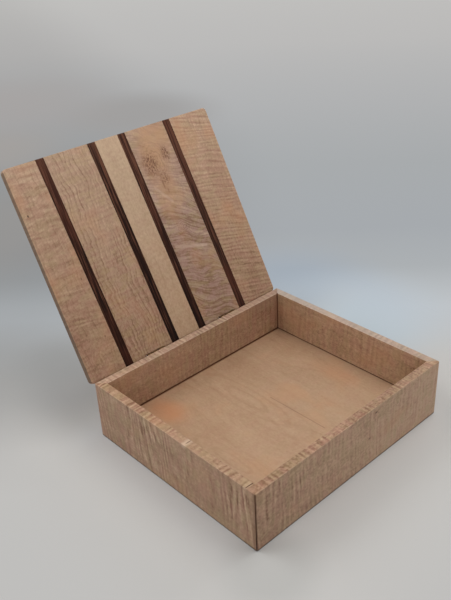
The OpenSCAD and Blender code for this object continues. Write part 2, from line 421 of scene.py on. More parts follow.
# What every maple board starts from. A depth is how far an effect moves the shade between dark,
# middle and light. Spots are x, y, z, size, stretch and strength, and strokes run from x, y, z to x, y
mapleLook = {
    "seed": 0.0,
    "dark": (124, 90, 66), "middle": (171, 138, 112), "light": (208, 178, 150),
    "curlLength": 7.0, "curlWander": 1.0, "curlSlant": 0.0, "curlEvenness": 0.35, "curlRagged": 0.35,
    "curlDepth": 0.15, "lineDepth": 0.05,
    "ringWidth": 5.0, "ringWander": 18.0, "ringDepth": 0.16, "waver": 0.3,
    "flowWidth": 6.0, "flowWander": 12.0, "flowSlant": 0.2, "flowDepth": 0.08, "fineDepth": 0.05,
    "streakDepth": 0.18, "toneDepth": 0.14, "blotchDepth": 0.12, "poreDepth": 0.2, "sway": 0.15,
    "gritDepth": 0.75, "gritScale": (0.5, 0.36, 0.5),
    "fade": 0.0, "fadeFrom": 0.0, "fadeTo": 240.0,
    "warm": (182, 132, 94), "warmth": 0.3, "warmEdges": (0.45, 1.0),
    "pink": (172, 124, 108), "olive": (162, 142, 104), "tint": 0.5, "tintMix": 0.5, "tintCurl": 0.06,
    "tintSteps": (1 / 15, 1 / 8, 1 / 15), "pinkEdges": (0.52, 0.36), "oliveEdges": (0.5, 0.64),
    "rimCurl": 1.0, "rimLift": 0.0, "rimFade": 0.0,
    # rimPale is a painted sheen: a pale grey mixed onto the rim for the backdrop's reflection, changing from
    # one end of Y to the other
    "rimPale": (), "paleEnds": (-120.0, 120.0), "paleColour": (202, 186, 176),
    "endColour": (128, 98, 76), "endShare": 0.55, "wornColour": (196, 165, 138), "wear": 0.5,
    "zones": (), "knots": (), "strokes": (), "patches": (), "flecks": (), "eyes": (),
    "arcs": 1.3, "wobble": 2.6,
    "knotColour": (84, 56, 40), "haloColour": (150, 108, 78), "haloShare": 0.35,
    "strokeColour": (104, 74, 54), "strokeThrough": 0.1,
    "patchColour": (190, 128, 88), "patchUneven": (0.1, 0.8, 0.4, 1.0), "eyeColour": (122, 88, 64),
    "fleckColour": (112, 74, 50), "fleckSteps": (0.95, 0.34, 0.5), "fleckUneven": (0.46, 0.58, 0.2, 1.0),
    # foot is painted shade over the lowest millimetres of X: the contact shadow at a wall's foot, and the
    # shade on the lid's left side face
    "foot": 0.0, "footFrom": 0.3, "footTall": 2.9, "footColour": (62, 44, 33),
    "roughness": 0.5, "roughShares": (-0.05, -0.06, 0.12, 0.15),  # of the curl, streaks, pores and end grain
    "heightShares": (0.35, -0.6, -0.3, 0.5),  # of streaks, pores, rings and curl
    "shine": 0.35, "grain": (0.00006, 0.5),
}


def mapleShade(vector, look, edges, axes):  # how dark or light the figure is, the curl and the fibre
    seed = look["seed"]
    curl = useGroup(
        curlGroup, Vector=vector, Seed=seed, Length=look["curlLength"], Wander=look["curlWander"],
        Slant=look["curlSlant"], Evenness=look["curlEvenness"], Ragged=look["curlRagged"],
    )
    rings = useGroup(
        ringGroup, Vector=vector, Seed=seed + 1.7, Width=look["ringWidth"], Wander=look["ringWander"],
        Wave=curl["Wave"], Waver=look["waver"],
    )
    flow = useGroup(
        flowGroup, Vector=vector, Seed=seed + 2.2, Width=look["flowWidth"], Wander=look["flowWander"],
        Slant=look["flowSlant"],
    )
    fibre = useGroup(
        fibreGroup, Vector=vector, Seed=seed + 4.1, Wave=curl["Wave"], Sway=look["sway"],
        Bend=rings["Bend"],
    )
    crisp = remap(edges["Rim"], 0.0, 1.0, 1.0, look["rimCurl"])
    for x, y, z, size, long, depth in look["zones"]:  # where the curl is stronger
        zone = useGroup(knotGroup, Vector=vector, Place=(x, y, z), Size=size, Stretch=long)
        offRim = remap(edges["Rim"], 0.0, 1.0, depth, 0.0)
        crisp = add(crisp, times(zone["Halo"], offRim))
    bands = times(curl["Curl"], crisp)
    # A straight shade gradient along Y; on the lid staves and the panel it is painted light and shade
    fade = remap(axes["Y"], look["fadeFrom"], look["fadeTo"], 0.5, -0.5)
    fade = times(fade, remap(edges["Rim"], 0.0, 1.0, look["fade"], look["rimFade"]))
    grit = noise(vector, look["gritScale"], seed, apart=6.6, detail=2.5, rough=0.6)
    shade = total(
        (bands, look["curlDepth"]), (centred(grit), look["gritDepth"]),
        (times(curl["Line"], crisp), -look["lineDepth"]), (rings["Ring"], -look["ringDepth"]),
        (centred(flow["Flow"]), look["flowDepth"]), (flow["Fine"], -look["fineDepth"]),
        (centred(fibre["Streak"]), look["streakDepth"]),
        (centred(fibre["Tone"]), look["toneDepth"]),
        (centred(fibre["Blotch"]), look["blotchDepth"]), (fibre["Pore"], -look["poreDepth"]),
        (edges["Rim"], look["rimLift"]), (fade, 1.0),
    )
    return shade, bands, curl, rings, fibre


def mapleMaterial(name, matrix, look):
    look = {**mapleLook, **look}
    made, shader, coordinates = newMaterial(name)
    vector = boardVector(coordinates, matrix)
    axes = splitAxes(vector)
    seed = look["seed"]
    edges = useGroup(wearGroup, Vector=vector, Seed=seed, Amount=look["wear"])
    shade, bands, curl, rings, fibre = mapleShade(vector, look, edges, axes)
    colour = toneRamp(add(shade, 0.5), look)

    def blend(factor, paintName):
        nonlocal colour
        colour = mixColour(factor, colour, paint(*look[paintName]))

    hue = noise(vector, look["tintSteps"], seed, apart=9.4)
    hue = add(hue, times(curl["Curl"], look["tintCurl"]))
    for tone in ("pink", "olive"):
        toned = mixColour(look["tintMix"], colour, paint(*look[tone]))
        amount = softRemap(hue, *look[tone + "Edges"], 0.0, look["tint"])
        colour = mixColour(amount, colour, toned)
    blend(times(softRemap(fibre["Blotch"], *look["warmEdges"]), look["warmth"]), "warm")

    def marks(places, output, paintName, share=1.0, within=None):
        for x, y, z, size, long, depth in places:
            spot = useGroup(
                knotGroup, Vector=vector, Place=(x, y, z), Size=size, Stretch=long, Lines=look["arcs"],
                Wobble=look["wobble"],
            )
            amount = times(spot[output], depth * share)
            blend(amount if within is None else times(amount, within), paintName)

    marks(look["patches"], "Halo", "patchColour", within=remap(fibre["Blotch"], *look["patchUneven"]))
    if look["flecks"]:
        dashes = noise(vector, look["fleckSteps"], seed, apart=3.7)
        marks(look["flecks"], "Halo", "fleckColour", within=softRemap(dashes, *look["fleckUneven"]))
    marks(look["eyes"], "Contour", "eyeColour")
    marks(look["knots"], "Halo", "haloColour", look["haloShare"])
    marks(look["knots"], "Knot", "knotColour")
    blend(times(edges["End"], look["endShare"]), "endColour")
    blend(edges["Wear"], "wornColour")
    # Painted sheen on the rim
    if look["rimPale"]:
        pale = remap(axes["Y"], *look["paleEnds"], *look["rimPale"])
        blend(times(edges["Rim"], pale), "paleColour")
    through = look["strokeThrough"]
    flatVector = vectorCalc("MULTIPLY", vector, (1, 1, through))
    for x, y, z, toX, toY, width, depth in look["strokes"]:
        stroke = useGroup(
            strokeGroup, Vector=flatVector, From=(x, y, z * through), To=(toX, toY, z * through),
            Width=width,
        )
        blend(times(stroke["Stroke"], depth), "strokeColour")
    # Painted shade where X is low: the contact shadow along a wall's foot, and the shade on the lid's left
    # side face
    if look["foot"]:
        blend(softRemap(axes["X"], look["footFrom"], look["footTall"], look["foot"], 0.0), "footColour")
    rough = total(*zip((bands, fibre["Streak"], fibre["Pore"], edges["End"]), look["roughShares"]))
    height = total(*zip((fibre["Streak"], fibre["Pore"], rings["Ring"], bands), look["heightShares"]))
    finishShader(shader, colour, rough, height, look)
    return made


walnutLook = {
    "seed": 0.0, "dark": (20, 9, 6), "middle": (49, 27, 19), "light": (102, 66, 50),
    "streakDepth": 0.6, "bandDepth": 0.6, "toneDepth": 0.3, "poreDepth": 0.5, "fineSteps": (1.9, 1.0, 1.9),
    # fade is painted light: the strips lighter towards the lid's front edge, the top when open, for the sheen
    # there
    "bandSteps": (0.5, 1 / 60, 0.5), "bandEdges": (0.36, 0.64), "fade": 0.7, "fadeEnds": (0.0, 240.0),
    "red": (88, 46, 34), "redness": 0.2, "redEdges": (0.2, 0.9), "endColour": (84, 62, 50), "endShare": 0.6,
    "wornColour": (104, 74, 56), "wear": 0.4,
    "roughness": 0.5, "roughShares": (-0.08, 0.15, -0.05),  # of streaks, pores and the finer streaks
    "heightShares": (0.5, -1.0), "shine": 0.08, "grain": (0.00006, 0.6),
}


def walnutMaterial(name, matrix, look):
    look = {**walnutLook, **look}
    made, shader, coordinates = newMaterial(name)
    vector = boardVector(coordinates, matrix)
    seed = look["seed"]
    fineVector = vectorCalc("MULTIPLY", vector, look["fineSteps"])
    fibre = useGroup(fibreGroup, Vector=vector, Seed=seed, Sway=0.0)
    fine = useGroup(fibreGroup, Vector=fineVector, Seed=seed + 2.9, Sway=0.0)
    edges = useGroup(wearGroup, Vector=vector, Seed=seed, Amount=look["wear"])
    # Painted light: lighter towards the lid's front edge
    fade = remap(splitAxes(vector)["Y"], *look["fadeEnds"], 0.5, -0.5)
    bands = noise(vector, look["bandSteps"], seed, apart=6.1)
    bands = softRemap(bands, *look["bandEdges"], -0.5, 0.5)
    shade = total(
        (centred(fibre["Streak"]), look["streakDepth"]), (bands, look["bandDepth"]),
        (centred(fine["Streak"]), look["streakDepth"]),
        (centred(fibre["Tone"]), look["toneDepth"]),
        (fibre["Pore"], -look["poreDepth"]), (fade, look["fade"]),
    )
    colour = toneRamp(add(shade, 0.5), look)
    redness = times(softRemap(fibre["Blotch"], *look["redEdges"]), look["redness"])
    colour = mixColour(redness, colour, paint(*look["red"]))
    colour = mixColour(times(edges["End"], look["endShare"]), colour, paint(*look["endColour"]))
    colour = mixColour(edges["Wear"], colour, paint(*look["wornColour"]))
    rough = total(*zip((fibre["Streak"], fibre["Pore"], fine["Streak"]), look["roughShares"]))
    height = total(*zip((fine["Streak"], fibre["Pore"]), look["heightShares"]))
    finishShader(shader, colour, rough, height, look)
    return made


# The brass is nearly black: a dark patina, and darker still as painted shade for the hinge slits in the lid's
# notches
brassLook = {
    "bright": (64, 44, 31), "dull": (40, 28, 22),
    "cloudSteps": (0.28, 0.28, 0.28), "cloudEdges": (0.35, 0.65),
    "stain": (25, 18, 15), "stainSteps": (1.3, 1.3, 1.3), "stainEdges": (0.6, 0.74, 0.0, 0.7),
    "rubbed": (118, 90, 60), "wear": 0.7, "brushSteps": (0.35, 9.0, 9.0),
    "roughness": 0.24, "roughShares": (0.22, 0.2, -0.1),  # of the brushing, the cloud and the wear
    "shine": 0.5, "grain": (0.00003, 0.5),
}


def brassMaterial(look):
    made, shader, coordinates = newMaterial("agedBrass")
    vector = boardVector(coordinates, Matrix.Identity(4))
    brushed = noise(vector, look["brushSteps"], 1.3, detail=3.0)
    cloud = noise(vector, look["cloudSteps"], 5.1, detail=4.0, rough=0.6)
    spots = noise(vector, look["stainSteps"], 8.9)
    edges = useGroup(wearGroup, Vector=vector, Seed=2.0, Amount=look["wear"])
    dulled = softRemap(cloud, *look["cloudEdges"])
    colour = mixColour(dulled, paint(*look["bright"]), paint(*look["dull"]))
    colour = mixColour(remap(spots, *look["stainEdges"]), colour, paint(*look["stain"]))
    colour = mixColour(edges["Wear"], colour, paint(*look["rubbed"]))
    shader.inputs["Metallic"].default_value = 1.0
    rough = total(*zip((brushed, cloud, edges["Wear"]), look["roughShares"]))
    finishShader(shader, colour, rough, brushed, look)
    return made


# Mesh helpers

def placeMesh(name, mesh):
    piece = bpy.data.objects.new(name, mesh)
    scene.collection.objects.link(piece)
    return piece


def loft(name, points, marks, rows, isSmooth):  # rings of points, joined in turn and closed at both ends
    count = len(points) // rows
    faces, smooth = [list(range(count))], [False]
    for row in range(rows - 1):
        low, high = row * count, (row + 1) * count
        for j in range(count):
            k = (j + 1) % count
            faces.append([low + j, low + k, high + k, high + j])
            smooth.append(isSmooth(row, j, k))
    faces.append(list(range(len(points) - count, len(points))))
    smooth.append(False)
    mesh = bpy.data.meshes.new(name)
    mesh.from_pydata(points, [], faces)
    for face, flag in zip(mesh.polygons, smooth):
        face.use_smooth = flag
    for mark, values in marks.items():
        mesh.attributes.new(mark, "FLOAT", "POINT").data.foreach_set("value", values)
    work = bmesh.new()
    work.from_mesh(mesh)
    bmesh.ops.recalc_face_normals(work, faces=work.faces)
    work.to_mesh(mesh)
    work.free()
    return placeMesh(name, mesh)


def dress(piece, material, body, node):
    piece.data.materials.clear()
    piece.data.materials.append(material)
    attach(piece, body)
    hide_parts(node)


def baked(piece):  # the modifiers' result as a plain mesh
    graph = bpy.context.evaluated_depsgraph_get()
    mesh = bpy.data.meshes.new_from_object(piece.evaluated_get(graph))
    piece.modifiers.clear()
    piece.data = mesh


def cutBlock(piece, block, after=Matrix.Identity(4)):
    work = bmesh.new()
    bmesh.ops.create_cube(work, size=1.0)
    mesh = bpy.data.meshes.new("block")
    work.to_mesh(mesh)
    work.free()
    turn = Matrix.Rotation(math.radians(block["turn"]), 4, "Z")
    size = Matrix.Diagonal((*[s * mm for s in block["size"]], 1.0))
    mesh.transform(after @ Matrix.Translation(Vector(block["place"]) * mm) @ turn @ size)
    cutter = placeMesh("block", mesh)
    cut = piece.modifiers.new("block", "BOOLEAN")
    cut.operation = "DIFFERENCE"
    cut.solver = "EXACT"
    cut.object = cutter
    bpy.context.view_layer.update()
    baked(piece)
    bpy.data.objects.remove(cutter)


# Walls: lofted along their length, with eased edges, mitred ends and the groove for the panel
wallShape = {
    "outerEase": 0.9, "innerEase": 0.5, "easeSteps": 5,
    "mitreEase": 0.14, "mitreAngles": (36, 27, 18, 9, 0), "mitreStep": 0.04,
    "openMitre": 0.24, "openMitreFoot": 0.2, "openBelow": 2.0, "openTaper": 5.0,
    "grooveDepth": 4.5, "groovePlay": 1.1,
}


def wallProfile(thick, height, shape):
    # (depth from the outer face, height, outward direction, arris, rim, arc) round the section
    points = []

    def roundEdge(depth, z, radius, start, arc):
        for i in range(shape["easeSteps"] + 1):
            share = i / shape["easeSteps"]
            a = math.radians(start - 90 * share)
            rim = max(0.0, math.sin(a)) if z > height / 2 else 0.0
            out = (math.cos(a), math.sin(a))
            arris = math.sin(math.pi * share)
            points.append((depth + radius * out[0], z + radius * out[1], out, arris, rim, arc))

    outer, inner = shape["outerEase"], shape["innerEase"]
    panelLow, panelHigh = (c.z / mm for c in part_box("bottom_panel"))
    roundEdge(outer, outer, outer, 270, 1)
    roundEdge(outer, height - outer, outer, 180, 2)
    roundEdge(thick - inner, height - inner, inner, 90, 3)
    grooveTop = panelHigh + shape["groovePlay"]
    for deep, z in ((0, grooveTop), (1, grooveTop), (1, panelLow), (0, panelLow)):
        points.append((thick - deep * shape["grooveDepth"], z, (0, 0), 0.0, 0.0, 0))
    roundEdge(thick - inner, inner, inner, 0, 4)
    return points


def buildWall(name, along, inward, length, thick, height, shape, openEnd):
    profile = wallProfile(thick, height, shape)
    middle = inward * (-length[1] / 2)
    radius, mitre = shape["outerEase"], shape["mitreEase"]
    steps = [radius * (1 - math.tan(math.radians(a))) for a in shape["mitreAngles"]]
    backs = [0.0, mitre] + [max(step, mitre + shape["mitreStep"] * (i + 2)) for i, step in enumerate(steps)]
    stations = [(side, i) for side in (-1, 1) for i in range(len(backs))[::-side]]
    points, marks = [], {"arris": [], "rim": [], "endGrain": []}
    for side, i in stations:
        for depth, z, out, arris, rim, arc in profile:
            opened = 0.0
            if side == openEnd and depth < thick / 2:
                below = min(1.0, max(0.0, (height - shape["openBelow"] - z) / shape["openTaper"]))
                opened = (shape["openMitre"] + shape["openMitreFoot"] * (1 - z / height)) * below
            back = opened + backs[i]
            u, v = depth + back, depth
            if v < radius and u < radius:
                away = Vector((u - radius, v - radius))
                away *= (radius - v) / away.length
                u, v = radius + away.x, radius + away.y
                arris = max(arris, 1 - (back - opened) / radius)
            lift = 0.0
            if i == 0:
                u, v, lift = u - mitre * out[0], v - mitre * out[0], -mitre * out[1]
            place = middle + along * (side * (length[0] / 2 - u)) + inward * v
            points.append((place.x * mm, place.y * mm, (z + lift) * mm))
            marks["arris"].append(arris)
            marks["rim"].append(rim)
            marks["endGrain"].append(1.0 if i == 0 else 0.0)

    def isSmooth(row, j, k):  # along an edge's arc, and round the outer corner of a mitre
        onArc = profile[j][5] > 0 and profile[j][5] == profile[k][5]
        atEnd = row > 0 and stations[row][0] == stations[row + 1][0]
        return onArc or (atEnd and profile[j][0] < radius and profile[k][0] < radius)

    return loft(name, points, marks, len(stations), isSmooth)


wallNodes = {side + "Wall": side + "_wall" for side in ("front", "back", "left", "right")}
corners = [corner for node in wallNodes.values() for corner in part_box(node)]
boxLow, boxHigh = [Vector([pick(c[i] for c in corners) for i in range(3)]) for pick in (min, max)]
boxWide, boxDeep, boxTall = (boxHigh - boxLow) / mm
frontLow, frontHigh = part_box("front_wall")
wallThick = (frontHigh.y - frontLow.y) / mm
xAxis, yAxis = Vector((1, 0, 0)), Vector((0, 1, 0))
sides = {  # along, inward, (own length, the other side's length), end with the open mitre
    "frontWall": (xAxis, yAxis, (boxWide, boxDeep), -1),
    "backWall": (xAxis, -yAxis, (boxWide, boxDeep), 0),
    "leftWall": (yAxis, xAxis, (boxDeep, boxWide), -1),
    "rightWall": (yAxis, -xAxis, (boxDeep, boxWide), 0),
}
wallPieces = {
    name: buildWall(name, along, inward, length, wallThick, boxTall, wallShape, openEnd)
    for name, (along, inward, length, openEnd) in sides.items()
}

# A narrow check across the left wall's rim, in line with the front wall's inner face
rimSlit = {"place": (-134.7, -107.9, 69.5), "size": (9.2, 0.6, 5.0), "turn": -6.7}
cutBlock(wallPieces["leftWall"], rimSlit)
print("walls built")


# Grain directions: X across the board's face, Y along the grain, Z through the board
alongX = Matrix(((0, 0, 1, 0), (1, 0, 0, 0), (0, 1, 0, 0), (0, 0, 0, 1)))
alongY = Matrix(((0, 0, 1, 0), (0, 1, 0, 0), (-1, 0, 0, 0), (0, 0, 0, 1)))

wallLook = {
    # The walls get a painted contact shadow along their foot
    "tint": 0.6, "curlEvenness": 0.2, "foot": 0.95, "gritDepth": 1.0,
    "strokeColour": (86, 50, 26), "strokeThrough": 1.0,
}
wallLooks = {
    "frontWall": {
        "seed": 11.0, "middle": (191, 157, 129), "endColour": (88, 52, 30),
        "curlLength": 6.4, "curlDepth": 0.1, "lineDepth": 0.03, "curlEvenness": 0.1, "curlSlant": 0.03,
        "ringDepth": 0.1, "ringWidth": 12.0, "rimCurl": 1.6, "rimLift": -0.3, "rimFade": 0.04,
        "fade": 0.34, "fadeFrom": 140.0, "fadeTo": -140.0, "zones": ((42.0, -105.0, -120.0, 18.0, 1.2, 0.7),),
        "strokes": (
            (0.0, -140.0, -120.0, 69.0, -140.0, 2.6, 0.5), (0.0, -140.0, -120.0, 69.0, -140.0, 1.2, 1.0),
        ),
        "knots": (
            (62.5, 31.0, -120.0, 1.3, 2.0, 0.95), (34.5, 22.0, -120.0, 1.0, 2.8, 0.85),
            (36.5, 100.0, -120.0, 1.0, 2.0, 0.3),
        ),
    },
    "backWall": {
        # Its strong, pale wear on the arrises is real wear together with a painted highlight along the back
        # rim's edge
        "seed": 23.0, "wear": 0.9, "wornColour": (210, 184, 160), "curlLength": 6.6, "curlDepth": 0.1,
        "lineDepth": 0.05, "curlEvenness": 0.3, "ringWidth": 11.0, "gritDepth": 1.1, "foot": 0.0,
        "rimCurl": 3.8, "rimLift": -0.12, "rimPale": (0.14, 0.14),
        "patches": ((72.0, 118.0, 115.0, 9.0, 2.6, 0.5),), "patchColour": (146, 116, 98),
        "fade": 0.2, "rimFade": 0.26, "fadeFrom": -140.0, "fadeTo": 140.0, "strokeColour": (84, 44, 22),
        # strokes: a dark line up the inner corner, and painted shade along the joint with the panel
        "strokes": (
            (19.0, 130.2, 110.2, 69.0, 130.2, 1.8, 0.75), (18.6, -131.0, 110.2, 18.6, 131.0, 2.0, 1.0),
        ),
    },
    "leftWall": {
        "seed": 37.0, "middle": (171, 138, 111), "endColour": (88, 52, 30), "tint": 0.65, "gritDepth": 0.9,
        "curlLength": 8.6, "curlDepth": 0.17, "lineDepth": 0.1, "curlSlant": -0.12, "curlRagged": 0.7,
        "curlWander": 1.5, "ringWidth": 12.0, "ringDepth": 0.1, "rimCurl": 2.0, "rimLift": -0.12,
        "strokes": (
            (0.0, -120.0, 140.0, 69.0, -120.0, 6.0, 0.45), (0.0, -120.0, 140.0, 69.0, -120.0, 1.5, 1.0),
        ),
        "patches": ((69.5, -24.0, 133.5, 1.7, 1.1, 0.75),), "patchColour": (216, 190, 166),
        "knots": ((69.5, -24.6, 133.5, 0.8, 1.0, 0.8), (69.5, -107.9, 134.7, 1.3, 0.5, 1.0)),
        "knotColour": (80, 46, 26), "haloColour": (208, 178, 150),
        "zones": ((52.0, 42.0, 140.0, 15.0, 1.2, 1.1), (40.0, -97.0, 140.0, 12.0, 0.8, 1.1)),
    },
    "rightWall": {
        "seed": 53.0, "middle": (184, 151, 123), "curlLength": 8.6, "curlDepth": 0.1, "lineDepth": 0.04,
        # The right rim gets the strongest painted sheen
        "ringWidth": 10.0, "rimCurl": 2.2, "rimPale": (0.26, 0.62), "paleColour": (190, 181, 172),
        "rimLift": -0.2, "strokeColour": (84, 44, 22),
        # strokes: a dark line up the inner corner, and painted shade along the joint with the panel
        "strokes": (
            (19.0, 110.2, -130.2, 69.0, 110.2, 1.8, 0.75), (18.6, -111.0, -130.2, 18.6, 111.0, 1.0, 0.6),
        ),
    },
}
for name, piece in wallPieces.items():
    grain = alongX if sides[name][0] == xAxis else alongY
    material = mapleMaterial(name + "Maple", grain, {**wallLook, **wallLooks[name]})
    dress(piece, material, "box", wallNodes[name])

panelLook = {
    "seed": 71.0, "dark": (150, 114, 86), "middle": (176, 145, 117), "light": (194, 166, 138),
    # fade is painted shade: the panel darker towards the back, under the open lid
    "fade": 0.22, "fadeFrom": -120.0, "fadeTo": 110.0,
    "curlDepth": 0.0, "lineDepth": 0.0, "ringWidth": 26.0, "ringWander": 50.0, "ringDepth": 0.18,
    "flowDepth": 0.06, "fineDepth": 0.0, "streakDepth": 0.14, "toneDepth": 0.14, "blotchDepth": 0.18,
    "poreDepth": 0.1, "gritDepth": 0.6, "warm": (184, 136, 98), "warmth": 0.35, "tint": 0.2,
    "strokeColour": (94, 54, 30),
    "strokes": (  # a crack line, and dark lines of painted shade in the joint where the walls meet the panel
        (18.4, 15.0, 18.5, 19.0, -64.0, 0.7, 0.5),
        (-131.0, 111.0, 18.5, 131.0, 111.0, 3.3, 1.0), (131.0, 111.0, 18.5, 131.0, -111.0, 1.8, 0.8),
        (-131.0, -111.0, 18.5, 131.0, -111.0, 2.6, 1.0), (-131.0, 111.0, 18.5, -131.0, -111.0, 2.6, 1.0),
    ),
    "patches": ((-78.0, 82.0, 18.5, 9.0, 1.5, 0.6), (104.0, -6.0, 18.5, 7.0, 2.2, 0.4)),
    "arcs": 1.7, "wobble": 0.7, "eyeColour": (148, 112, 84),
    "eyes": ((-2.0, 34.0, 18.5, 14.0, 4.2, 0.26), (-84.0, -30.0, 18.5, 10.0, 5.0, 0.18)),
}
panel = frame["nodes"]["bottom_panel"]
panel.data.materials.clear()
panel.data.materials.append(mapleMaterial("bottomPly", Matrix.Identity(4), panelLook))
print("walls and panel dressed")


# The lid is built closed and then swung open about the hinge pins
hinge = frame["joints"][0]
pin = Vector(hinge["pos_m"])
openAngle = math.radians(hinge["range_deg"][1])
aboutPin = Matrix.Translation(pin) @ Matrix.Rotation(-openAngle, 4, "X") @ Matrix.Translation(-pin)
toClosed = aboutPin.inverted()

boards = ["lid_stave_1", "lid_strip_1", "lid_stave_2", "lid_strip_2", "lid_stave_3",
          "lid_strip_3", "lid_stave_4", "lid_strip_4", "lid_stave_5"]
lidShape = {"cornerRadius": 4.5, "cornerSteps": 6, "ease": 1.0, "easeSteps": 5, "glueEase": 0.1}
closedPoints = {n: [toClosed @ v.co / mm for v in frame["nodes"][n].data.vertices] for n in boards}
everyPoint = [p for n in boards for p in closedPoints[n]]
lidLow, lidHigh = [Vector([pick(p[i] for p in everyPoint) for i in range(3)]) for pick in (min, max)]
edgePlay = 0.01


def glueLines(points):  # x of a board's left and right sides at the lid's front and back edges
    front = [p.x for p in points if p.y < lidLow.y + edgePlay]
    back = [p.x for p in points if p.y > lidHigh.y - edgePlay]
    return (min(front), min(back)), (max(front), max(back))


def boardRing(left, right, inset, seam, shape):
    # points in order, each as (x, y, how far its side faces the grain, corner number)
    ring = []
    radius = shape["cornerRadius"]

    def corner(number, x, y, line, sideX, start):
        if line:
            share = (y - lidLow.y) / (lidHigh.y - lidLow.y)
            ring.append((line[0] + (line[1] - line[0]) * share - sideX * seam, y, 1.0, number))
            return
        middleX = x - sideX * radius
        middleY = (lidLow.y + radius) if number < 2 else (lidHigh.y - radius)
        reach = radius - inset
        for i in range(shape["cornerSteps"] + 1):
            a = math.radians(start + 90 * i / shape["cornerSteps"])
            x, y = middleX + reach * math.cos(a), middleY + reach * math.sin(a)
            ring.append((x, y, abs(math.sin(a)), number))

    corner(0, lidLow.x, lidLow.y + inset, left, -1, 180)
    corner(1, lidHigh.x, lidLow.y + inset, right, 1, 270)
    corner(2, lidHigh.x, lidHigh.y - inset, right, 1, 0)
    corner(3, lidLow.x, lidHigh.y - inset, left, -1, 90)
    return ring


def buildBoard(name, left, right, shape):
    thick = lidHigh.z - lidLow.z
    ease, steps = shape["ease"], shape["easeSteps"]
    levels = []
    for i in range(steps + 1):
        a = math.radians(90 * i / steps)
        levels.append((ease * (1 - math.sin(a)), ease * (1 - math.cos(a)), math.sin(2 * a), math.sin(a)))
    levels += [(inset, thick - z, arris, end) for inset, z, arris, end in reversed(levels)]
    points, marks = [], {"arris": [], "endGrain": [], "rim": []}
    for inset, z, arris, end in levels:
        seam = max(0.0, shape["glueEase"] - min(z, thick - z))
        ring = boardRing(left, right, inset, seam, shape)
        for x, y, facing, number in ring:
            place = aboutPin @ (Vector((x, y, lidLow.z + z)) * mm)
            points.append(tuple(place))
            marks["arris"].append(arris)
            marks["endGrain"].append(end * facing)
            marks["rim"].append(0.0)

    def isSmooth(row, j, k):  # all but the glued sides and the flat edges
        a, b = ring[j][3], ring[k][3]
        glued = (left and {a, b} == {0, 3}) or (right and {a, b} == {1, 2})
        return not glued and (a == b or row != steps)

    return loft(name, points, marks, len(levels), isSmooth)


